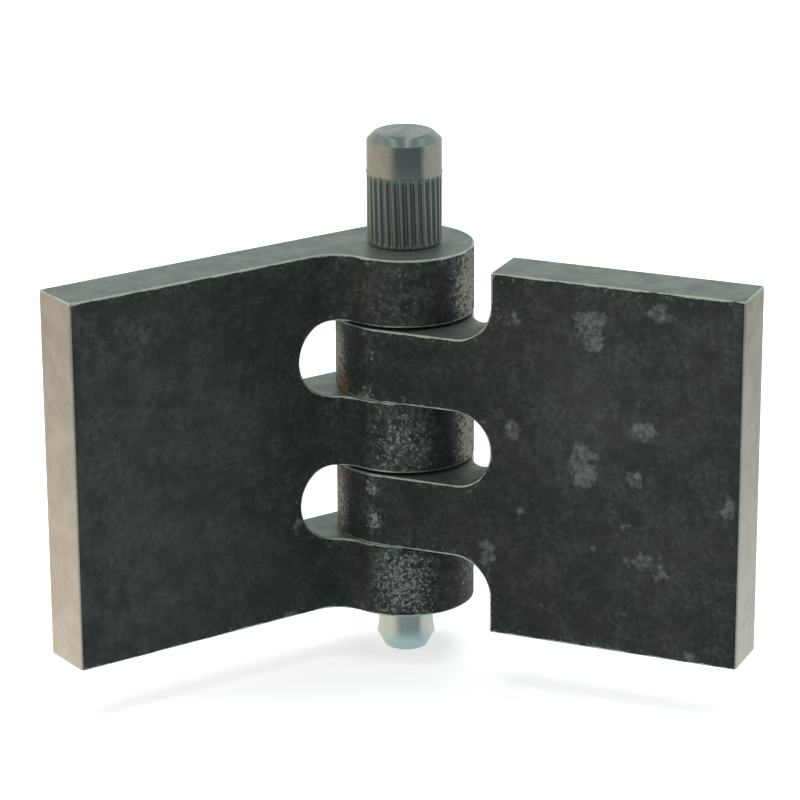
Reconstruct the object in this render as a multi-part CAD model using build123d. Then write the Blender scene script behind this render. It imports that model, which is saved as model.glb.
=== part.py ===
from build123d import *

import os
from math import cos, radians, sin, sqrt

# Weld-on barrel hinge.
#
# Two steel leaves are cut from one profile, a flat bar with a round barrel along one edge.
# The frame leaf has three knuckles, the door leaf has two that fill its slots, and a turned
# pin with a knurled grip drops through all five from above.
#
# Frame: the hinge axis is Z and the origin lies on it at the leaves' mid-height.  The frame
# leaf runs along -X with its weld face at +Y.  Lengths are in millimetres.

# ---- the profile that both leaves are cut from
LEAF_REACH = 50.5  # hinge axis to the leaf's outer end
LEAF_THICKNESS = 8.0
BARREL_RADIUS = 9.3  # the weld face lies flush with the barrel
ROOT_FILLET = 5.0  # hollow between the inner face and the barrel
CORNER_RADIUS = 0.5  # rolled corners along the outer end

# ---- the frame leaf's knuckles and slots, which add up to the height of both leaves
TOP_KNUCKLE = 9.2
MIDDLE_KNUCKLE = 9.8
BOTTOM_KNUCKLE = 10.1
SLOT_HEIGHT = 10.45  # each of the two slots, which have full-radius ends
LEAF_HEIGHT = TOP_KNUCKLE + SLOT_HEIGHT + MIDDLE_KNUCKLE + SLOT_HEIGHT + BOTTOM_KNUCKLE

# ---- how the door leaf sits in them
THRUST_GAP = 0.05  # under each door knuckle, which rides on the knuckle below
END_PLAY = 0.45  # above each door knuckle
SWING_CLEARANCE = 6.7  # barrel surface to the end of a slot or notch
NOTCH_RADIUS = 5.2  # corner that the cutter leaves above and below the door knuckles
REST_ANGLE = 122.0  # between the two leaves as modelled, degrees

# ---- pin: shank and knurled grip
PIN_RADIUS = 4.0
BORE_CLEARANCE = 0.05  # radial, in all five knuckles
GRIP_SHOULDER = 1.0  # radial step from the shank out to the grip
HEAD_SEAT_GAP = 0.05  # grip's foot to the top knuckle
RIDGES = 29
KNURL_HEIGHT = 9.7
KNURL_RISE = 0.1  # ridges stand this far above the plain band
KNURL_DEPTH = 0.4  # ridge top to groove bottom
KNURL_FLAT = 0.18  # share of the pitch that is flat on a ridge, and again in a groove
KNURL_CHAMFER = 0.5  # slope at the foot of the knurl
KNURL_RUNOUT = 0.45  # slope from the grooves up to the plain band
KNURL_TURN = 4.0  # +X round to the first ridge, degrees
PLAIN_BAND = 4.35
CAP_CHAMFER = 1.1
CAP_EDGE_RADIUS = 1.0

# ---- pin: tip below the bottom knuckle
TIP_BELOW = 7.4  # underside of the leaves to the end of the pin
LEAD_IN_HEIGHT = 1.85
LEAD_IN_STEP = 0.95  # radial, ring to end face
RING_CUT = 0.1  # radial, shank to ring
NECK_FLARE = 1.85  # height from the ring up to the neck
NECK_HEIGHT = 2.0
NECK_CUT = 0.3  # radial, shank to neck

# ---- levels and places that follow from them
LEAF_TOP = LEAF_HEIGHT / 2
BORE_RADIUS = PIN_RADIUS + BORE_CLEARANCE
SLOT_END = BARREL_RADIUS + SWING_CLEARANCE
UPPER_SEAT = LEAF_TOP - TOP_KNUCKLE - SLOT_HEIGHT
LOWER_SEAT = UPPER_SEAT - MIDDLE_KNUCKLE - SLOT_HEIGHT
BEYOND = LEAF_REACH + LEAF_HEIGHT  # reach of a cutter that has to clear the metal


def leaf_section():
    """Bar and barrel in one outline: the leaf runs along +X, its weld face at -Y."""
    inner_face = LEAF_THICKNESS - BARREL_RADIUS
    hollow_y = inner_face + ROOT_FILLET
    hollow_x = sqrt((BARREL_RADIUS + ROOT_FILLET) ** 2 - hollow_y**2)
    hollow_centre = Vector(hollow_x, hollow_y)
    to_barrel = -hollow_centre.normalized()
    hollow_end = hollow_centre + to_barrel * ROOT_FILLET
    hollow_middle = hollow_centre + (to_barrel + Vector(0, -1)).normalized() * ROOT_FILLET
    outline = Polyline(
        (0, -BARREL_RADIUS),
        (LEAF_REACH, -BARREL_RADIUS),
        (LEAF_REACH, inner_face),
        (hollow_x, inner_face),
    )
    outline += ThreePointArc((hollow_x, inner_face), hollow_middle, hollow_end)
    outline += ThreePointArc(hollow_end, (-BARREL_RADIUS, 0), (0, -BARREL_RADIUS))
    section = make_face(outline)
    return fillet(section.vertices().group_by(Axis.X)[-1], CORNER_RADIUS)


def leaf_blank():
    """A sawn length of the profile, bored for the pin."""
    blank = extrude(leaf_section(), LEAF_HEIGHT / 2, both=True)
    return blank - Cylinder(BORE_RADIUS, LEAF_HEIGHT)


def through_cut(outline, top, bottom):
    """Cut square through the leaf from the barrel side, as deep as SLOT_END."""
    place = Pos(X=SLOT_END - BEYOND / 2, Z=(top + bottom) / 2)
    return place * extrude(Plane.XZ * outline, BEYOND, both=True)


def round_slot(top, bottom):
    """One pass of a cutter as wide as the slot, so its end is a half circle."""
    return through_cut(SlotOverall(BEYOND, top - bottom), top, bottom)


def corner_notch(top, bottom):
    """Takes the barrel away over a height and leaves the cutter's radius in the corner."""
    return through_cut(RectangleRounded(BEYOND, top - bottom, NOTCH_RADIUS), top, bottom)


def frame_leaf():
    """Two slots leave the top, middle and bottom knuckles standing."""
    leaf = leaf_blank()
    for seat in (UPPER_SEAT, LOWER_SEAT):
        leaf -= round_slot(seat + SLOT_HEIGHT, seat)
    return Rot(Z=180) * leaf


def door_leaf():
    """Two knuckles stand between a middle slot and the notches at the leaf's ends."""
    leaf = leaf_blank()
    leaf -= corner_notch(LEAF_TOP + BEYOND, UPPER_SEAT + SLOT_HEIGHT - END_PLAY)
    leaf -= round_slot(UPPER_SEAT + THRUST_GAP, LOWER_SEAT + SLOT_HEIGHT - END_PLAY)
    leaf -= corner_notch(LOWER_SEAT + THRUST_GAP, -LEAF_TOP - BEYOND)
    return Rot(Z=REST_ANGLE - 180) * leaf


def turned(outline):
    """Lathe work: (radius, height) points revolved about the hinge axis."""
    return revolve(make_face(Plane.XZ * Polyline(outline, close=True)), Axis.Z)


def knurl(foot, crest, root):
    """Straight ridges round the grip, chamfered at their foot and square at the top."""
    pitch = 360 / RIDGES
    half_flat = KNURL_FLAT / 2
    ridge = ((crest, -half_flat), (crest, half_flat), (root, 0.5 - half_flat), (root, 0.5 + half_flat))
    corners = []
    for number in range(RIDGES):
        for radius, share in ridge:
            angle = radians(KNURL_TURN + pitch * (number + share))
            corners.append((radius * cos(angle), radius * sin(angle)))
    ridges = extrude(make_face(Polyline(corners, close=True)), KNURL_HEIGHT)
    envelope = turned([
        (0, 0),
        (root - KNURL_RISE, 0),
        (crest, KNURL_CHAMFER),
        (crest, KNURL_HEIGHT),
        (0, KNURL_HEIGHT),
    ])
    return Pos(Z=foot) * (ridges & envelope)


def hinge_pin():
    """Tip, neck, shank, knurl and capped band, all turned from one bar."""
    grip = PIN_RADIUS + GRIP_SHOULDER
    crest = grip + KNURL_RISE
    root = crest - KNURL_DEPTH
    knurl_foot = LEAF_TOP + HEAD_SEAT_GAP
    knurl_top = knurl_foot + KNURL_HEIGHT
    cap_foot = knurl_top + PLAIN_BAND
    neck = PIN_RADIUS - NECK_CUT
    ring = PIN_RADIUS - RING_CUT
    tip_end = -LEAF_TOP - TIP_BELOW
    ring_level = tip_end + LEAD_IN_HEIGHT
    neck_foot = ring_level + NECK_FLARE
    neck_top = neck_foot + NECK_HEIGHT
    pin = turned([
        (0, tip_end),
        (ring - LEAD_IN_STEP, tip_end),
        (ring, ring_level),
        (neck, neck_foot),
        (neck, neck_top),
        (PIN_RADIUS, neck_top + NECK_CUT),
        (PIN_RADIUS, knurl_top - KNURL_HEIGHT / 2),
        (root, knurl_top - KNURL_RUNOUT),
        (grip, knurl_top),
        (grip, cap_foot),
        (grip - CAP_CHAMFER, cap_foot + CAP_CHAMFER),
        (0, cap_foot + CAP_CHAMFER),
    ])
    cap_edge = pin.edges().filter_by(GeomType.CIRCLE).sort_by(Axis.Z)[-1]
    return fillet(cap_edge, CAP_EDGE_RADIUS) + knurl(knurl_foot, crest, root)


if __name__ == "__main__":
    os.makedirs("parts", exist_ok=True)
    for node in (frame_leaf, door_leaf, hinge_pin):
        export_step(node(), f"parts/{node.__name__}.step")
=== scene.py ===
# %% [markdown]
# # A weld-on barrel hinge
# Two steel leaves are sawn from one rolled bar, slotted so that their knuckles
# fit into each other, and a turned pin drops through all five knuckles.
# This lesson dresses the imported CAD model: every edge gets a real round, and
# every surface gets the finish that its making left on it.
# Sizes are in millimetres, and MM turns them into Blender's metres.

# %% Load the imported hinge
from math import cos, degrees, pi, radians, sin

import bmesh
import bpy
from mathutils import Matrix, Vector, kdtree


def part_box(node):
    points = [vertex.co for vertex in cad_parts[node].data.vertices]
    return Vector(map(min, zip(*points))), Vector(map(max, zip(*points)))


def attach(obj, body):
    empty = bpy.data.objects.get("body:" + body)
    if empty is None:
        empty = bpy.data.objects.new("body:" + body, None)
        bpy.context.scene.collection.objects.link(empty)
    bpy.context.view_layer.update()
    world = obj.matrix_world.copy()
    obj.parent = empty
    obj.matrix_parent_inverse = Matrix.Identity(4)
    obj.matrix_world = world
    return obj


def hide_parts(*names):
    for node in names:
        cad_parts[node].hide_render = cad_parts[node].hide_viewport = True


MM = 0.001
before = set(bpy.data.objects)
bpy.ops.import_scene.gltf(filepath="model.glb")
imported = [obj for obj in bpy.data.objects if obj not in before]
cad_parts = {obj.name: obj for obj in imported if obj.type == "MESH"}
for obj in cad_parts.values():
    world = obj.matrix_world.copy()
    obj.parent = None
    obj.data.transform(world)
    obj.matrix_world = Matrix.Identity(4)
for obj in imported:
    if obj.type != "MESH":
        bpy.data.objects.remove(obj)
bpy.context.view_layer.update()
print("CAD pieces:", sorted(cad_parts))

# %% [markdown]
# ## The sizes that the looks depend on
# The frame gives every node's box, so the leaves' height and reach, the pin's
# ends and the barrel's radius are read from it and not typed again.

# %% Measure the frame
leaf_low, leaf_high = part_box("frame_leaf")
pin_low, pin_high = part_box("hinge_pin")
LEAF_TOP = leaf_high.z / MM
LEAF_REACH = -leaf_low.x / MM
BARREL_RADIUS = leaf_high.y / MM
PIN_END = pin_low.z / MM
PIN_TOP = pin_high.z / MM
print(f"Leaf top {LEAF_TOP:.1f}, reach {LEAF_REACH:.1f}, barrel radius {BARREL_RADIUS:.1f}")

# %% [markdown]
# ## Camera
# A long lens from a little above keeps the leaves' upright edges almost
# parallel. The camera's own directions are written once, as `seen`, so that
# the lamps and the room can be placed to the left, to the right or behind the
# hinge as a studio hand would say it.

# %% Place the camera
VIEW_TURN = radians(-34.84)  # camera round the hinge axis
LOOK_DOWN = radians(18.62)
CAMERA_ROLL = radians(-0.27)
CAMERA_DISTANCE = 491.0
CAMERA_STEP = Vector((-0.70, 0.0, 2.60))  # the camera's own right and up
LENS = 163.5


def seen(right, away, up):
    """A vector given as the camera sees it: to the right, away from it, and up."""
    return Matrix.Rotation(VIEW_TURN, 3, "Z") @ Vector((right, away, up))


camera = bpy.data.objects.new("camera", bpy.data.cameras.new("camera"))
camera.data.lens = LENS
camera.data.clip_start = 0.01
aim = Matrix.Rotation(VIEW_TURN, 4, "Z") @ Matrix.Rotation(pi / 2 - LOOK_DOWN, 4, "X")
step_up = CAMERA_STEP.z * sin(LOOK_DOWN)
place = seen(
    CAMERA_STEP.x,
    -CAMERA_DISTANCE * cos(LOOK_DOWN) + step_up,
    CAMERA_DISTANCE * sin(LOOK_DOWN) + CAMERA_STEP.z * cos(LOOK_DOWN),
)
camera.matrix_world = Matrix.Translation(place * MM) @ aim @ Matrix.Rotation(CAMERA_ROLL, 4, "Z")
bpy.context.scene.collection.objects.link(camera)
bpy.context.scene.camera = camera
bpy.context.scene.view_settings.view_transform = "Standard"
print("Camera at", tuple(round(x / MM) for x in camera.location), "mm")

# %% [markdown]
# ## Node helpers
# Materials are graphs. These four helpers place a node, do arithmetic on
# sockets, turn a value into a ramp from 0 to 1, and blend two colours, so that
# each finish below reads as a short recipe. Every link could be written out
# instead, but each recipe would then be several times as long.

# %% Helpers for node graphs
def add_node(tree, kind, **settings):
    """A new node; settings are its properties, or its inputs by name."""
    node = tree.nodes.new(kind)
    for name, value in settings.items():
        if hasattr(node, name):
            setattr(node, name, value)
        else:
            node.inputs[name.replace("_", " ")].default_value = value
    return node


def math_node(tree, operation, first, second=None, third=None, clamp=False):
    """Arithmetic on sockets or plain numbers; returns the result's socket."""
    node = add_node(tree, "ShaderNodeMath", operation=operation, use_clamp=clamp)
    for place, value in enumerate((first, second, third)):
        if isinstance(value, bpy.types.NodeSocket):
            tree.links.new(value, node.inputs[place])
        elif value is not None:
            node.inputs[place].default_value = value
    return node.outputs[0]


def ramp_between(tree, value, low, high, smooth=True):
    """0 below low, 1 above high; low may be the larger one to turn it round."""
    node = add_node(tree, "ShaderNodeMapRange", clamp=True)
    node.interpolation_type = "SMOOTHSTEP" if smooth else "LINEAR"
    tree.links.new(value, node.inputs["Value"])
    for name, limit in (("From Min", low), ("From Max", high)):
        if isinstance(limit, bpy.types.NodeSocket):
            tree.links.new(limit, node.inputs[name])
        else:
            node.inputs[name].default_value = limit
    return node.outputs["Result"]


def mix_colour(tree, factor, first, second):
    """Blend two colours, each a socket or an (r, g, b)."""
    node = add_node(tree, "ShaderNodeMix", data_type="RGBA")
    tree.links.new(factor, node.inputs["Factor"])
    for name, value in (("A", first), ("B", second)):
        socket = next(s for s in node.inputs if s.name == name and s.type == "RGBA")
        if isinstance(value, bpy.types.NodeSocket):
            tree.links.new(value, socket)
        else:
            socket.default_value = (*value, 1.0)
    return next(s for s in node.outputs if s.type == "RGBA")


# %% [markdown]
# ## Room
# Polished steel shows the room, so the room matters as much as the lamps. It
# is a world shader and not a box of walls, because its colours then depend on
# direction alone. It is bright behind the hinge and dim on the camera's side,
# tan to the left, cream to the right, and bluish below. Light tubes cross its
# dim ceiling and stripe the pin's chamfer. The camera itself sees plain white.

# %% The room as a world shader
ROOM_BEHIND = (0.66, 0.70, 0.67)
ROOM_FRONT = (0.12, 0.15, 0.16)
ROOM_LEFT = (0.82, 0.69, 0.55)
ROOM_RIGHT = (0.74, 0.70, 0.60)
ROOM_ABOVE = (0.27, 0.35, 0.36)
ROOM_TUBES = (1.0, 1.0, 0.95)
ROOM_BELOW = (0.42, 0.60, 0.62)
TUBE_SPACING = 0.56  # between the ceiling tubes, as sideways over upwards

world = bpy.data.worlds.new("room")
bpy.context.scene.world = world
world.use_nodes = True
room = world.node_tree
room.nodes.clear()
direction = add_node(room, "ShaderNodeTexCoord").outputs["Generated"]


def towards(vector):
    """How far the room's direction points along a vector, from -1 to 1."""
    dot = add_node(room, "ShaderNodeVectorMath", operation="DOT_PRODUCT")
    room.links.new(direction, dot.inputs[0])
    dot.inputs[1].default_value = vector
    return dot.outputs["Value"]


colour = mix_colour(room, ramp_between(room, towards(seen(0, 1, 0)), -0.45, 0.55), ROOM_FRONT, ROOM_BEHIND)
colour = mix_colour(room, ramp_between(room, towards(seen(-1, 0, 0)), 0.35, 0.85), colour, ROOM_LEFT)
colour = mix_colour(room, ramp_between(room, towards(seen(1, 0, 0)), 0.74, 0.93), colour, ROOM_RIGHT)
up = towards(Vector((0, 0, 1)))
slope = math_node(room, "DIVIDE", towards(seen(1, 0, 0)), math_node(room, "MAXIMUM", up, 0.1))
wave = math_node(room, "SINE", math_node(room, "MULTIPLY", slope, 2 * pi / TUBE_SPACING))
ceiling = mix_colour(room, ramp_between(room, wave, 0.2, 0.9), ROOM_ABOVE, ROOM_TUBES)
colour = mix_colour(room, ramp_between(room, up, 0.25, 0.60), colour, ceiling)
colour = mix_colour(room, ramp_between(room, towards(Vector((0, 0, -1))), 0.42, 0.75), colour, ROOM_BELOW)
rays = add_node(room, "ShaderNodeLightPath")
colour = mix_colour(room, rays.outputs["Is Camera Ray"], colour, (1.0, 1.0, 1.0))
background = add_node(room, "ShaderNodeBackground")
room.links.new(colour, background.inputs["Color"])
room.links.new(background.outputs[0], add_node(room, "ShaderNodeOutputWorld").inputs["Surface"])

print("Room: world shader with", len(room.nodes), "nodes")

# %% [markdown]
# ## Floor
# The floor is a wide disc level with the pin's tip, and it keeps the hinge's
# shadow. Its glow, which the camera alone sees, brings the paper up to white.
# More lamps would do that too, but they would also wash out the steel. The
# steel doesn't mirror the disc: the room's lower part stands in for it.

# %% The floor
FLOOR_RADIUS = 3000.0
FLOOR_CORNERS = 96
PAPER_TONE = 0.80
PAPER_GLOW = 0.45
floor_mesh = bpy.data.meshes.new("floor")
disc = bmesh.new()
bmesh.ops.create_circle(disc, cap_ends=True, segments=FLOOR_CORNERS, radius=FLOOR_RADIUS * MM)
bmesh.ops.translate(disc, verts=disc.verts, vec=(0, 0, PIN_END * MM))
disc.to_mesh(floor_mesh)
disc.free()
floor = bpy.data.objects.new("floor", floor_mesh)
bpy.context.scene.collection.objects.link(floor)
floor.visible_glossy = False

paper = bpy.data.materials.new("white_paper")
paper.use_nodes = True
sheet = paper.node_tree
sheet.nodes.clear()
diffuse = add_node(sheet, "ShaderNodeBsdfDiffuse", Color=(PAPER_TONE, PAPER_TONE, PAPER_TONE, 1.0))
glow = add_node(sheet, "ShaderNodeEmission", Color=(1.0, 1.0, 1.0, 1.0))
seen_by_camera = add_node(sheet, "ShaderNodeLightPath").outputs["Is Camera Ray"]
sheet.links.new(math_node(sheet, "MULTIPLY", seen_by_camera, PAPER_GLOW), glow.inputs["Strength"])
both = add_node(sheet, "ShaderNodeAddShader")
sheet.links.new(diffuse.outputs[0], both.inputs[0])
sheet.links.new(glow.outputs[0], both.inputs[1])
sheet.links.new(both.outputs[0], add_node(sheet, "ShaderNodeOutputMaterial").inputs["Surface"])
floor_mesh.materials.append(paper)
print(f"Floor at {PIN_END:.1f} mm")

# %% [markdown]
# ## Lamps
# A wide ceiling lamp does most of the work. A warm card on the left and two
# narrow windows keep the leaves from looking flat. The lamps are left out of
# reflections, where their square outlines would show as hard spots.

# %% The lamps
def soft_lamp(name, place, size, watts, colour):
    """An area lamp that looks at the hinge; place is as the camera sees it."""
    data = bpy.data.lights.new(name, "AREA")
    data.shape = "RECTANGLE"
    data.size, data.size_y = size[0] * MM, size[1] * MM
    data.energy = watts
    data.color = colour
    lamp = bpy.data.objects.new(name, data)
    lamp.location = seen(*place) * MM
    lamp.rotation_euler = (-lamp.location).to_track_quat("-Z", "Y").to_euler()
    lamp.visible_glossy = False
    bpy.context.scene.collection.objects.link(lamp)
    return lamp


soft_lamp("ceiling_light", (-60, 140, 640), (900, 700), 5.0, (0.93, 1.0, 0.98))
soft_lamp("left_card", (-520, -60, 100), (200, 420), 1.4, (1.0, 0.92, 0.82))
soft_lamp("tall_window", (-300, -420, 330), (50, 300), 0.6, (1.0, 0.97, 0.92))
soft_lamp("far_window", (420, 60, 170), (40, 300), 0.35, (1.0, 0.98, 0.93))

# %% [markdown]
# ## Shared finishes
# The same few effects come back on every steel surface, so each is a node
# group with its own sliders: a blotchy field, small bright specks, a worn
# edge, and fine parallel lines left by a cutter. All of them work on object
# coordinates in millimetres, so their sizes mean what they say.

# %% Start a group, and the millimetre coordinates
def new_group(name, inputs, outputs):
    """An empty node group; inputs and outputs are (name, kind, default)."""
    group = bpy.data.node_groups.new(name, "ShaderNodeTree")
    for direction, sockets in (("INPUT", inputs), ("OUTPUT", outputs)):
        for label, kind, default in sockets:
            socket = group.interface.new_socket(label, in_out=direction, socket_type="NodeSocket" + kind)
            if default is not None:
                socket.default_value = default
    return group, group.nodes.new("NodeGroupInput"), group.nodes.new("NodeGroupOutput")


def place_group(tree, group, position=None, **inputs):
    """Put a shared group in a graph; inputs are numbers or sockets by name."""
    node = add_node(tree, "ShaderNodeGroup", node_tree=group)
    if position is not None:
        tree.links.new(position, node.inputs["Position"])
    for name, value in inputs.items():
        socket = node.inputs[name.replace("_", " ")]
        if isinstance(value, bpy.types.NodeSocket):
            tree.links.new(value, socket)
        else:
            socket.default_value = value
    return node.outputs[0]


def in_millimetres(tree):
    """Object coordinates as millimetres."""
    scale = add_node(tree, "ShaderNodeVectorMath", operation="SCALE", Scale=1 / MM)
    tree.links.new(add_node(tree, "ShaderNodeTexCoord").outputs["Object"], scale.inputs[0])
    return scale.outputs[0]


def painted(tree, name):
    """A value that the mesh code painted on the piece's points."""
    return add_node(tree, "ShaderNodeAttribute", attribute_name=name).outputs["Fac"]


# %% Blotches, specks, worn edges and cutter lines
def blotches_group():
    """Soft patches: Size in mm across, Contrast from 0 to 1."""
    group, start, end = new_group(
        "blotches",
        [("Position", "Vector", None), ("Size", "Float", 4.0), ("Contrast", "Float", 0.5)],
        [("Patches", "Float", None)],
    )
    cloud = add_node(group, "ShaderNodeTexNoise", Detail=5.0, Roughness=0.62)
    group.links.new(start.outputs["Position"], cloud.inputs["Vector"])
    group.links.new(math_node(group, "DIVIDE", 1.0, start.outputs["Size"]), cloud.inputs["Scale"])
    half = math_node(group, "MULTIPLY_ADD", start.outputs["Contrast"], -0.2, 0.25)
    low = math_node(group, "SUBTRACT", 0.5, half)
    high = math_node(group, "ADD", 0.5, half)
    group.links.new(ramp_between(group, cloud.outputs["Fac"], low, high), end.inputs["Patches"])
    return group


def specks_group():
    """Small bare spots: Size in mm, and Cover, the share of the surface that they take."""
    group, start, end = new_group(
        "specks",
        [("Position", "Vector", None), ("Size", "Float", 0.3), ("Cover", "Float", 0.2)],
        [("Specks", "Float", None)],
    )
    grain = add_node(group, "ShaderNodeTexNoise", Detail=3.0, Roughness=0.7, Distortion=0.4)
    group.links.new(start.outputs["Position"], grain.inputs["Vector"])
    group.links.new(math_node(group, "DIVIDE", 1.0, start.outputs["Size"]), grain.inputs["Scale"])
    level = math_node(group, "MULTIPLY_ADD", start.outputs["Cover"], -0.36, 0.72)
    top = math_node(group, "ADD", level, 0.07)
    group.links.new(ramp_between(group, grain.outputs["Fac"], level, top), end.inputs["Specks"])
    return group


def worn_edge_group():
    """Bare metal near an edge: Distance from it and Reach in mm, broken up by noise."""
    group, start, end = new_group(
        "worn_edge",
        [("Position", "Vector", None), ("Distance", "Float", 1.0), ("Reach", "Float", 0.3)],
        [("Worn", "Float", None)],
    )
    slow = add_node(group, "ShaderNodeTexNoise", Scale=0.35, Detail=4.0, Roughness=0.65)
    group.links.new(start.outputs["Position"], slow.inputs["Vector"])
    swing = ramp_between(group, slow.outputs["Fac"], 0.30, 0.70, smooth=False)
    share = math_node(group, "MULTIPLY_ADD", swing, 1.1, 0.5)
    reach = math_node(group, "MULTIPLY", start.outputs["Reach"], share)
    inner = math_node(group, "MULTIPLY", reach, 0.55)
    group.links.new(ramp_between(group, start.outputs["Distance"], reach, inner), end.inputs["Worn"])
    return group


def cutter_lines_group():
    """Fine parallel lines along a chosen direction, as bump height."""
    group, start, end = new_group(
        "cutter_lines",
        [("Position", "Vector", None), ("Across", "Vector", (0.0, 0.0, 1.0)), ("Spacing", "Float", 0.2)],
        [("Height", "Float", None)],
    )
    along = add_node(group, "ShaderNodeVectorMath", operation="DOT_PRODUCT")
    group.links.new(start.outputs["Position"], along.inputs[0])
    group.links.new(start.outputs["Across"], along.inputs[1])
    drift = add_node(group, "ShaderNodeTexNoise", Scale=0.25, Detail=2.0)
    group.links.new(start.outputs["Position"], drift.inputs["Vector"])
    bent = math_node(group, "MULTIPLY_ADD", drift.outputs["Fac"], 0.15, along.outputs["Value"])
    steps = math_node(group, "DIVIDE", bent, start.outputs["Spacing"])
    lines = add_node(
        group, "ShaderNodeTexNoise", noise_dimensions="1D", Scale=1.0, Detail=2.0, Roughness=0.6
    )
    group.links.new(steps, lines.inputs["W"])
    group.links.new(lines.outputs["Fac"], end.inputs["Height"])
    return group


blotches, specks = blotches_group(), specks_group()
worn_edge, cutter_lines = worn_edge_group(), cutter_lines_group()
print("Shared effects:", [group.name for group in bpy.data.node_groups])

# %% [markdown]
# ## Mill scale
# Hot rolling leaves a blue-black oxide skin on the bar. It is dark and a
# little glossy, rubbed thin in ragged patches, and on the barrel it has
# flaked off in grey specks. Towards the outer ends it carries painted light,
# a lighter veil shown as thin scale. Noise alone would spread the wear evenly,
# which no real part has, so five painted values steer it:
# `edge`, the haze of painted light, `rubbed`, `pitted` and `rust`.

# %% The scaled faces
SCALE_DARK = (0.0065, 0.0120, 0.0130)
SCALE_BROWN = (0.021, 0.021, 0.0185)
SCALE_THIN = (0.115, 0.132, 0.128)
FLAKED_STEEL = (0.33, 0.34, 0.30)
BARE_STEEL = (0.66, 0.70, 0.63)
RUST = (0.22, 0.105, 0.055)


def steel_shader(name):
    """A material with its Principled shader ready to be fed."""
    material = bpy.data.materials.new(name)
    material.use_nodes = True
    tree = material.node_tree
    return material, tree, tree.nodes["Principled BSDF"]


def mill_scale():
    """Blue-black oxide with thin patches, flaked specks, worn edges and painted light towards the outer
    ends.
    """
    material, tree, surface = steel_shader("mill_scale")
    place = in_millimetres(tree)
    broad = place_group(tree, blotches, place, Size=11.0, Contrast=0.3)
    cloudy = place_group(tree, blotches, place, Size=3.2, Contrast=0.3)
    fine = place_group(tree, blotches, place, Size=0.75, Contrast=0.4)
    skin = mix_colour(tree, math_node(tree, "MULTIPLY", broad, 0.6), SCALE_DARK, SCALE_BROWN)

    ragged = place_group(tree, blotches, place, Size=2.2, Contrast=0.5)
    grainy = math_node(tree, "MULTIPLY_ADD", fine, 0.75, 0.25)
    rubbed = math_node(tree, "MULTIPLY_ADD", painted(tree, "rubbed"), 1.2, -0.45)
    rubbed = ramp_between(tree, math_node(tree, "MULTIPLY_ADD", ragged, 0.9, rubbed), 0.36, 0.95)
    thin = math_node(tree, "MULTIPLY", rubbed, grainy)
    faint = math_node(tree, "MULTIPLY", math_node(tree, "MULTIPLY_ADD", cloudy, 0.22, 0.05), fine)
    # Painted light: the painted haze lightens the scale towards the outer ends, as a veil of thin scale.
    clouds = math_node(tree, "MULTIPLY_ADD", cloudy, 0.5, 0.5)
    painted_light_haze = math_node(tree, "MULTIPLY", painted(tree, "painted_light_haze"), clouds)
    thin = math_node(tree, "MAXIMUM", thin, math_node(tree, "ADD", faint, painted_light_haze))
    skin = mix_colour(tree, thin, skin, SCALE_THIN)

    pitted = painted(tree, "pitted")
    mottled = place_group(tree, blotches, place, Size=1.2, Contrast=0.85)
    mottled = math_node(tree, "MULTIPLY", math_node(tree, "MULTIPLY", mottled, pitted), grainy)
    skin = mix_colour(tree, math_node(tree, "MULTIPLY", mottled, 0.95), skin, SCALE_THIN)
    cover = math_node(tree, "MULTIPLY", pitted, 0.85)
    flaked = place_group(tree, specks, place, Size=0.46, Cover=cover)
    skin = mix_colour(tree, math_node(tree, "MULTIPLY", flaked, 0.85), skin, FLAKED_STEEL)
    edge = painted(tree, "edge")
    worn = place_group(tree, worn_edge, place, Distance=edge, Reach=0.26)
    near_edge = place_group(tree, worn_edge, place, Distance=edge, Reach=1.3)
    chips = place_group(tree, specks, place, Size=0.7, Cover=0.42)
    chips = math_node(tree, "MULTIPLY", near_edge, chips)
    skin = mix_colour(tree, math_node(tree, "MULTIPLY", chips, 0.6), skin, SCALE_THIN)
    skin = mix_colour(tree, worn, skin, BARE_STEEL)
    bare = math_node(tree, "MAXIMUM", math_node(tree, "MULTIPLY", flaked, 0.45), worn)

    crumbs = place_group(tree, blotches, place, Size=0.7, Contrast=0.5)
    rusty = math_node(tree, "MULTIPLY", painted(tree, "rust"), crumbs)
    skin = mix_colour(tree, rusty, skin, RUST)
    tree.links.new(skin, surface.inputs["Base Color"])
    tree.links.new(math_node(tree, "SUBTRACT", bare, rusty, clamp=True), surface.inputs["Metallic"])
    rough = math_node(tree, "MULTIPLY_ADD", fine, 0.12, 0.48)
    rough = math_node(tree, "MULTIPLY_ADD", bare, -0.14, rough)
    tree.links.new(rough, surface.inputs["Roughness"])
    surface.inputs["Specular IOR Level"].default_value = 0.35

    height = math_node(tree, "MULTIPLY_ADD", flaked, -1.0, math_node(tree, "MULTIPLY", fine, 0.6))
    bump = add_node(tree, "ShaderNodeBump", Strength=0.5, Distance=0.04 * MM)
    tree.links.new(height, bump.inputs["Height"])
    tree.links.new(bump.outputs[0], surface.inputs["Normal"])
    return material


# %% [markdown]
# ## Cut faces
# The top, the bottom and the slots were sawn or milled, and the outer ends
# were sheared. That is bare steel which has dulled. The cutter's lines are a
# few hundredths of a millimetre deep, too shallow to model, so they are bump.
# The ends carry painted light: they are painted darker upwards, so that they look lighter towards the
# foot.

# %% The sawn, milled and sheared faces
CUT_GREY = (0.30, 0.325, 0.295)
CUT_DULL = (0.165, 0.195, 0.178)
END_GREY = (0.76, 0.74, 0.70)
END_DULL = (0.40, 0.37, 0.325)


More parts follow.
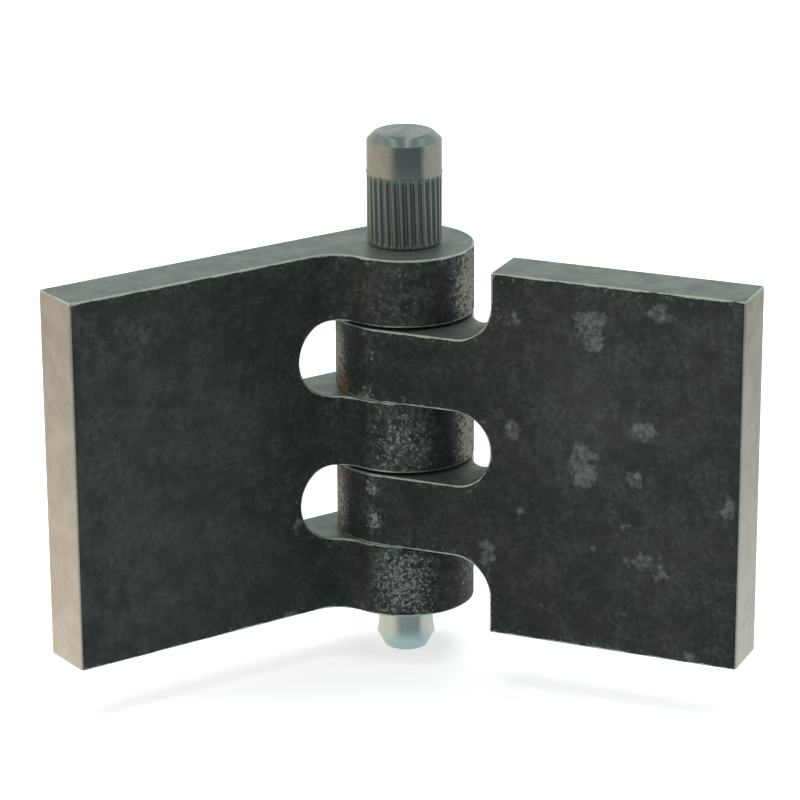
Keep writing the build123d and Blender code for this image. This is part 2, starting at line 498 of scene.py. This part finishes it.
def cut_steel(name, clean, dull, across, spacing, cloudiness=1.0, painted_shade_upwards=0.0):
    """Bare steel with dull clouds, cutter lines, brighter edges, and painted shade that darkens it
    upwards.
    """
    material, tree, surface = steel_shader(name)
    place = in_millimetres(tree)
    bloom_and_shade = place_group(tree, blotches, place, Size=3.5, Contrast=0.1)
    fine = place_group(tree, blotches, place, Size=0.35, Contrast=0.2)
    lines = place_group(tree, cutter_lines, place, Across=across, Spacing=spacing)
    height = add_node(tree, "ShaderNodeSeparateXYZ")
    tree.links.new(place, height.inputs[0])
    # Painted shade: the ends are darkened upwards, which paints light on them towards the foot.
    upwards = ramp_between(tree, height.outputs["Z"], -LEAF_TOP, LEAF_TOP, smooth=False)
    bloom_and_shade = math_node(tree, "MULTIPLY", bloom_and_shade, cloudiness)
    bloom_and_shade = math_node(tree, "MULTIPLY_ADD", upwards, painted_shade_upwards, bloom_and_shade)
    face = mix_colour(tree, math_node(tree, "MULTIPLY", bloom_and_shade, 0.62, clamp=True), clean, dull)
    face = mix_colour(tree, math_node(tree, "MULTIPLY", fine, 0.25), face, dull)
    worn = place_group(tree, worn_edge, place, Distance=painted(tree, "edge"), Reach=0.25)
    face = mix_colour(tree, math_node(tree, "MULTIPLY", worn, 0.8), face, BARE_STEEL)
    tree.links.new(face, surface.inputs["Base Color"])
    surface.inputs["Metallic"].default_value = 0.85
    rough = math_node(tree, "MULTIPLY_ADD", bloom_and_shade, 0.10, 0.40)
    tree.links.new(rough, surface.inputs["Roughness"])
    bump = add_node(tree, "ShaderNodeBump", Strength=0.35, Distance=0.02 * MM)
    tree.links.new(math_node(tree, "MULTIPLY_ADD", fine, 0.3, lines), bump.inputs["Height"])
    tree.links.new(bump.outputs[0], surface.inputs["Normal"])
    return material


# %% [markdown]
# ## Leaves
# The CAD mesh of a leaf has the right shape, but its edges are knife sharp and
# its flat faces are a few long triangles. A merged copy of it is cleaned,
# rounded along every sharp edge, and cut into a millimetre grid, so that it
# can carry painted values. The other way, to model the leaf again from a
# block, would only risk a slot out of place.

# %% A clean copy of a CAD node
MERGE_DISTANCE = 0.002
SHARP_ANGLE = radians(35)
EDGE_ROUND = 0.20
GRID_STEP = 1.0
LEAF_FLATNESS = 90  # how strongly the large faces hold the shading, out of 100


def merged_copy(node):
    """The node's mesh with its loose triangles joined back into whole faces."""
    shape = bmesh.new()
    shape.from_mesh(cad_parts[node].data)
    bmesh.ops.remove_doubles(shape, verts=shape.verts, dist=MERGE_DISTANCE * MM)
    bmesh.ops.dissolve_limit(
        shape, angle_limit=radians(0.5), verts=shape.verts, edges=shape.edges, delimit={"NORMAL"}
    )
    return shape


def sharp_edges(shape):
    """Edges where two surfaces meet at an angle."""
    return [edge for edge in shape.edges if edge.calc_face_angle(0) > SHARP_ANGLE]


def edge_finder(shape, spacing=0.2):
    """A search tree over points strewn along the sharp edges."""
    points = []
    for edge in sharp_edges(shape):
        first, last = (v.co for v in edge.verts)
        count = max(1, round(edge.calc_length() / (spacing * MM)))
        points += [first.lerp(last, step / count) for step in range(count + 1)]
    tree = kdtree.KDTree(len(points))
    for number, point in enumerate(points):
        tree.insert(point, number)
    tree.balance()
    return tree


# %% Which surface is which
FACE_SCALE, FACE_CUT, FACE_END = range(3)


def sort_surfaces(shape, along):
    """Give each face the material of the process that made it."""
    thickness = Vector((0, 0, 1)).cross(along)
    for face in shape.faces:
        normal, centre = face.normal, face.calc_center_median()
        reach = centre.dot(along) / MM
        rolled = abs(normal.z) < 0.05 and (reach < 0 or abs(normal.dot(thickness)) > 0.05)
        if reach > LEAF_REACH - 0.6 and normal.dot(along) > 0.5:
            face.material_index = FACE_END
        elif rolled and centre.xy.length > BARREL_RADIUS / 2 * MM:
            face.material_index = FACE_SCALE
        else:
            face.material_index = FACE_CUT


# %% Round the edges and cut the grid
def round_edges(shape, width):
    """A small real round on every sharp edge."""
    bmesh.ops.bevel(
        shape,
        geom=sharp_edges(shape),
        offset=width * MM,
        offset_type="OFFSET",
        segments=3,
        profile=0.5,
        affect="EDGES",
        clamp_overlap=True,
        material=-1,
    )


def cut_grid(shape, direction, low, high, step):
    """Slice the mesh square to a direction, at even steps between two places."""
    count = round((high - low) / step)
    for number in range(1, count):
        bmesh.ops.bisect_plane(
            shape,
            geom=[*shape.verts, *shape.edges, *shape.faces],
            dist=1e-6,
            plane_co=direction * (low + (high - low) * number / count) * MM,
            plane_no=direction,
        )


# %% [markdown]
# ## Wear that knows its place
# Oval patches are painted on the points of the mesh, and the noise in the
# materials gives them their ragged rims. A painted picture would do as well,
# but it needs an unwrapped mesh and can't be resized with the part.

# %% Paint values on the points
def patch(place, centre, size):
    """1 in the middle of an oval patch, easing to 0 at its rim."""
    far = sum(((a - b) / s) ** 2 for a, b, s in zip(place, centre, size))
    return max(0.0, 1.0 - far) ** 0.8


def paint(shape, name, value_at):
    """Store value_at(point in mm) on every vertex under a name."""
    layer = shape.verts.layers.float.new(name)
    for vertex in shape.verts:
        vertex[layer] = value_at(vertex.co / MM)


# %% Finish a piece
def finish_piece(shape, name, node, materials, flatness):
    """Turn a built shape into the piece that rides on a CAD node and replaces it."""
    for face in shape.faces:
        face.smooth = True
    mesh = bpy.data.meshes.new(name)
    shape.to_mesh(mesh)
    shape.free()
    for material in materials:
        mesh.materials.append(material)
    piece = bpy.data.objects.new(name, mesh)
    bpy.context.scene.collection.objects.link(piece)
    weighted = piece.modifiers.new("flat faces stay flat", "WEIGHTED_NORMAL")
    weighted.weight = flatness
    weighted.keep_sharp = False
    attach(piece, node)
    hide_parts(node)
    print(f"{piece.name}: {len(mesh.vertices)} points, {len(mesh.polygons)} faces")


# %% Build both leaves
def build_leaf(name, along, rubbed, painted_light_haze, pitted, rust):
    """Dress one leaf; along runs from the hinge axis to the leaf's outer end."""
    shape = merged_copy(name)
    sort_surfaces(shape, along)
    finder = edge_finder(shape)
    round_edges(shape, EDGE_ROUND)
    across = Vector((0, 0, 1)).cross(along)
    cut_grid(shape, along, -BARREL_RADIUS, LEAF_REACH, GRID_STEP)
    cut_grid(shape, across, -BARREL_RADIUS, BARREL_RADIUS, GRID_STEP)
    cut_grid(shape, Vector((0, 0, 1)), -LEAF_TOP, LEAF_TOP, GRID_STEP)

    def on_face(point):
        return point.dot(along), point.z

    def on_barrel(point):
        turn = degrees(seen(0, -1, 0).xy.angle_signed(point.xy)) if point.xy.length > 1 else 0.0
        return -turn, point.z

    def strongest(patches, place):
        values = (patch(place, (a, z), (da, dz)) * amount for a, z, da, dz, amount in patches)
        return max(values, default=0.0)

    def around_barrel(patches, point):
        near = point.xy.length < BARREL_RADIUS + 0.1
        return strongest(patches, on_barrel(point)) if near else 0.0

    paint(shape, "edge", lambda point: finder.find(point * MM)[2] / MM)
    paint(shape, "rubbed", lambda point: strongest(rubbed, on_face(point)))
    # Painted light: lighter veils towards the leaf's outer end.
    paint(shape, "painted_light_haze", lambda point: strongest(painted_light_haze, on_face(point)))
    paint(shape, "pitted", lambda point: around_barrel(pitted, point))
    paint(shape, "rust", lambda point: around_barrel(rust, point))
    finish_piece(shape, name + "_steel", name, (scale, cut, end), LEAF_FLATNESS)


scale = mill_scale()
cut = cut_steel("sawn_steel", CUT_GREY, CUT_DULL, (0.35, 0.0, 1.0), 0.35)
# The sheared ends get painted shade upwards, so that they look lit towards the foot.
end = cut_steel("sheared_end", END_GREY, END_DULL, (0.35, 0.94, 0.0), 0.25, 0.45, painted_shade_upwards=1.15)

FRAME_ALONG = Vector((-1, 0, 0))
REST_ANGLE = radians(122)
DOOR_ALONG = Matrix.Rotation(REST_ANGLE + pi, 3, "Z") @ Vector((1, 0, 0))

# On a face: (along, height, half width, half height, strength), in mm.
FRAME_RUBBED = (
    (41, 20, 7, 5, 0.20),
    (44, -9, 7, 8, 0.22),
    (46, 5, 5, 8, 0.22),
    (17, -12, 1.6, 1.2, 0.8),
    (21, -13.5, 0.8, 0.5, 0.8),
    (36, -24.6, 1.0, 0.5, 1.0),
    (18, -24.4, 2.0, 0.6, 0.8),
)
DOOR_RUBBED = (
    (29.8, 18.8, 3.0, 3.4, 1.0),
    (37.2, 5.9, 2.4, 2.4, 1.0),
    (28.9, 0.2, 3.0, 4.2, 0.9),
    (35.9, -0.6, 1.8, 1.6, 0.9),
    (38.2, -12.2, 3.8, 2.2, 0.9),
    (19.5, 4.0, 1.5, 1.6, 0.8),
    (48.6, -3.0, 1.5, 2.4, 0.7),
    (34.9, -7.2, 0.9, 0.9, 0.9),
    (34.3, -18.7, 0.7, 0.7, 1.0),
    (23.5, -20.4, 1.4, 0.7, 1.0),
    (30.9, -11.3, 1.4, 0.8, 0.8),
    (40.0, 22.0, 2.8, 1.6, 0.7),
    (19.0, 19.5, 2.4, 2.0, 0.5),
    (15.5, -14.5, 1.6, 3.2, 0.8),
    (42.9, -24.3, 2.4, 0.9, 1.0),
    (31.0, -24.6, 6.0, 0.6, 0.9),
    (20.0, -8.0, 1.4, 2.2, 0.5),
    (23.0, 10.0, 1.2, 1.2, 0.4),
)
# Painted light, shown as lighter thin scale: (along, height, half width, half height, strength), in mm.
FRAME_PAINTED_LIGHT = (
    (46, -4, 30, 32, 0.19),
    (42, -13, 16, 16, 0.23),
)
DOOR_PAINTED_LIGHT = (
    (40, 4, 24, 30, 0.07),
    (30, 8, 9, 16, 0.14),
)
# Round the barrel: (degrees right of the camera, height, half turn, half height, strength).
FRAME_PITTED = (
    (-2, -20.5, 38, 9, 0.82),
    (-4, 0, 38, 9, 0.62),
    (-6, 19, 34, 8, 0.36),
    (66, 0, 26, 12, 1.0),
    (64, 20, 30, 10, 0.95),
    (38, -20, 14, 8, 0.35),
    (68, -20, 24, 8, 0.62),
    (150, 0, 60, 40, 0.4),
)
DOOR_PITTED = (
    (-74, 10.5, 20, 8, 1.0),
    (-74, -10, 20, 8, 1.0),
    (-30, -7, 9, 2.0, 0.9),
    (-28, -11.5, 10, 2.4, 0.95),
    (-30, 11.6, 7, 1.6, 0.6),
    (-34, 6.2, 12, 1.6, 0.75),
    (-20, 10, 24, 6, 0.25),
    (-20, -10, 24, 6, 0.3),
    (-140, 0, 50, 40, 0.5),
)
FRAME_RUST = (
    (-40, 20.5, 16, 4.5, 0.13),
    (30, 19.5, 12, 5, 0.08),
)
DOOR_RUST = (
    (-64, 6.4, 15, 1.7, 1.0),
    (-70, -5.8, 16, 1.7, 0.8),
    (-68, -13.8, 14, 1.4, 0.7),
)
build_leaf("frame_leaf", FRAME_ALONG, FRAME_RUBBED, FRAME_PAINTED_LIGHT, FRAME_PITTED, FRAME_RUST)
build_leaf("door_leaf", DOOR_ALONG, DOOR_RUBBED, DOOR_PAINTED_LIGHT, DOOR_PITTED, DOOR_RUST)

# %% [markdown]
# ## Pin
# The pin is lathe work: one outline of radius and height, spun about the
# hinge axis. Its knurl was rolled in afterwards, so here too the spun skin is
# pressed inwards between the ridges, most in the middle of the band and
# easing out at its ends, as a knurling wheel leaves it.

# %% The pin's outline
PIN_RADIUS = 4.0
TIP_RADIUS = 2.95  # the flat end
RING_RADIUS = 3.9
NECK_RADIUS = 3.7
RING_LEVEL = PIN_END + 1.85
NECK_FOOT = PIN_END + 3.7
NECK_TOP = PIN_END + 5.7
SHANK_FOOT = PIN_END + 6.0
GRIP_RADIUS = 5.0
BAND_STEP = 0.15  # from the ridges' tops up to the plain band
KNURL_RISE = 0.1
KNURL_DEPTH = 0.42
KNURL_HEIGHT = 9.7
KNURL_ROWS = 44
KNURL_LEAN = radians(-4.0)  # turn of a ridge from foot to top
RIDGES = 29
FIRST_RIDGE = radians(8.8)
STEPS_PER_RIDGE = 14
CAP_CHAMFER = 1.1
CAP_ROUND = 0.41  # from the cap's corner to where its round begins
KNURL_FOOT = LEAF_TOP + 0.05
KNURL_TOP = KNURL_FOOT + KNURL_HEIGHT
CAP_FOOT = PIN_TOP - CAP_CHAMFER


def pin_outline():
    """Radius and height up the pin, from the tip's centre to the cap's centre."""
    tip = [
        (0.0, PIN_END),
        (TIP_RADIUS, PIN_END),
        (RING_RADIUS, RING_LEVEL),
        (NECK_RADIUS, NECK_FOOT),
        (NECK_RADIUS, NECK_TOP),
        (PIN_RADIUS, SHANK_FOOT),
        (PIN_RADIUS, KNURL_FOOT),
    ]
    crest = GRIP_RADIUS + KNURL_RISE
    rows = [(crest, KNURL_FOOT + KNURL_HEIGHT * row / KNURL_ROWS) for row in range(KNURL_ROWS + 1)]
    cap = [
        (GRIP_RADIUS, KNURL_TOP + BAND_STEP),
        (GRIP_RADIUS, CAP_FOOT),
        (GRIP_RADIUS - CAP_CHAMFER, PIN_TOP),
        (0.0, PIN_TOP),
    ]
    return tip + rows + cap


# %% Spin it and press the knurl
PIN_ROUND = 0.12
PIN_FLATNESS = 50


def smooth_step(value, low, high):
    """0 below low, 1 above high, with an easy start and stop."""
    share = min(1.0, max(0.0, (value - low) / (high - low)))
    return share * share * (3 - 2 * share)


def press_depth(turn, height):
    """How deep the knurl lies at an angle and a height up the knurled band."""
    share = (turn - FIRST_RIDGE - KNURL_LEAN * height / KNURL_HEIGHT) * RIDGES / (2 * pi)
    from_crest = abs(share - round(share))
    groove = smooth_step(from_crest, 0.08, 0.40)
    ends = smooth_step(height, 0.0, 0.7) * smooth_step(KNURL_HEIGHT - height, 0.0, 0.9)
    foot = 0.35 * (1 - smooth_step(height, 0.0, 0.45))
    rise = KNURL_RISE * (1 - smooth_step(KNURL_HEIGHT - height, 0.0, 0.3))
    return KNURL_DEPTH * groove * ends + foot + (KNURL_RISE - rise), groove * ends


def build_pin(material):
    """Spin the outline, press the ridges in and round the corners."""
    shape = bmesh.new()
    points = [shape.verts.new((radius * MM, 0, height * MM)) for radius, height in pin_outline()]
    lines = [shape.edges.new(pair) for pair in zip(points, points[1:])]
    bmesh.ops.spin(
        shape,
        geom=[*points, *lines],
        cent=(0, 0, 0),
        axis=(0, 0, 1),
        dvec=(0, 0, 0),
        angle=2 * pi,
        steps=RIDGES * STEPS_PER_RIDGE,
        use_merge=True,
    )
    bmesh.ops.remove_doubles(shape, verts=shape.verts, dist=0.001 * MM)
    bmesh.ops.recalc_face_normals(shape, faces=shape.faces)
    rims = [edge for edge in sharp_edges(shape) if edge.verts[0].co.z < KNURL_FOOT * MM - 1e-6]
    upper = [edge for edge in sharp_edges(shape) if edge.verts[0].co.z > (KNURL_TOP + 0.2) * MM]
    cap_rim = [edge for edge in upper if edge.verts[0].co.z > (PIN_TOP - 0.01) * MM]
    rims += [edge for edge in upper if edge not in cap_rim]
    for edges, width, segments in ((rims, PIN_ROUND, 3), (cap_rim, CAP_ROUND, 8)):
        bmesh.ops.bevel(
            shape,
            geom=edges,
            offset=width * MM,
            segments=segments,
            profile=0.5,
            affect="EDGES",
            material=-1,
        )
    grooves = shape.verts.layers.float.new("groove")
    knurled = shape.verts.layers.float.new("knurled")
    for vertex in shape.verts:
        height, radius = vertex.co.z / MM - KNURL_FOOT, vertex.co.xy.length / MM
        if radius > PIN_RADIUS + 0.5 and -0.001 <= height <= KNURL_HEIGHT + 0.001:
            turn = Vector((1, 0)).angle_signed(vertex.co.xy) * -1
            depth, vertex[grooves] = press_depth(turn, height)
            vertex[knurled] = 1.0
            vertex.co.xy *= 1 - depth / radius
    finish_piece(shape, "turned_pin", "hinge_pin", (material,), PIN_FLATNESS)


# %% [markdown]
# ## Plating
# The pin is turned steel under thin zinc, dulled by handling and clean at the
# tip. Lathe lines run round it and stretch its reflections along the axis, so
# the shader is anisotropic, with its tangent taken round the pin.

# %% Plated steel
PLATE_GREY = (0.36, 0.41, 0.40)
PLATE_WARM = (0.34, 0.33, 0.29)
PLATE_CLEAN = (0.72, 0.80, 0.78)
DARKER_PLATE = (0.20, 0.22, 0.215)


def plated_steel():
    """Thin plating over lathe work: darker streaks round the pin, and a knurl darker in its grooves."""
    material, tree, surface = steel_shader("plated_steel")
    place = in_millimetres(tree)
    tone = place_group(tree, blotches, place, Size=1.6, Contrast=0.2)
    lines = place_group(tree, cutter_lines, place, Across=(0.0, 0.0, 1.0), Spacing=0.12)
    height = add_node(tree, "ShaderNodeSeparateXYZ")
    tree.links.new(place, height.inputs[0])
    clean = ramp_between(tree, height.outputs["Z"], -LEAF_TOP, -LEAF_TOP - 0.8)
    skin = mix_colour(tree, math_node(tree, "MULTIPLY", tone, 0.5), PLATE_GREY, PLATE_WARM)
    streaks = math_node(tree, "MULTIPLY_ADD", lines, 0.5, -0.12, clamp=True)
    skin = mix_colour(tree, streaks, skin, DARKER_PLATE)
    skin = mix_colour(tree, clean, skin, PLATE_CLEAN)
    # The knurl is darker in its grooves, by how deep each point was pressed.
    groove = painted(tree, "groove")
    skin = mix_colour(tree, math_node(tree, "MULTIPLY", groove, 0.6), skin, DARKER_PLATE)
    tree.links.new(skin, surface.inputs["Base Color"])
    metallic = math_node(tree, "MULTIPLY_ADD", clean, -0.35, 0.95)
    tree.links.new(metallic, surface.inputs["Metallic"])
    surface.inputs["Anisotropic"].default_value = 0.7
    surface.inputs["Anisotropic Rotation"].default_value = 0.25
    around = add_node(tree, "ShaderNodeTangent", direction_type="RADIAL", axis="Z")
    tree.links.new(around.outputs[0], surface.inputs["Tangent"])
    rough = math_node(tree, "MULTIPLY_ADD", tone, 0.06, 0.24)
    rough = math_node(tree, "MULTIPLY_ADD", painted(tree, "knurled"), 0.12, rough)
    rough = math_node(tree, "MULTIPLY_ADD", clean, -0.07, rough)
    tree.links.new(rough, surface.inputs["Roughness"])
    bump = add_node(tree, "ShaderNodeBump", Strength=0.12, Distance=0.01 * MM)
    tree.links.new(lines, bump.inputs["Height"])
    tree.links.new(bump.outputs[0], surface.inputs["Normal"])
    return material


build_pin(plated_steel())
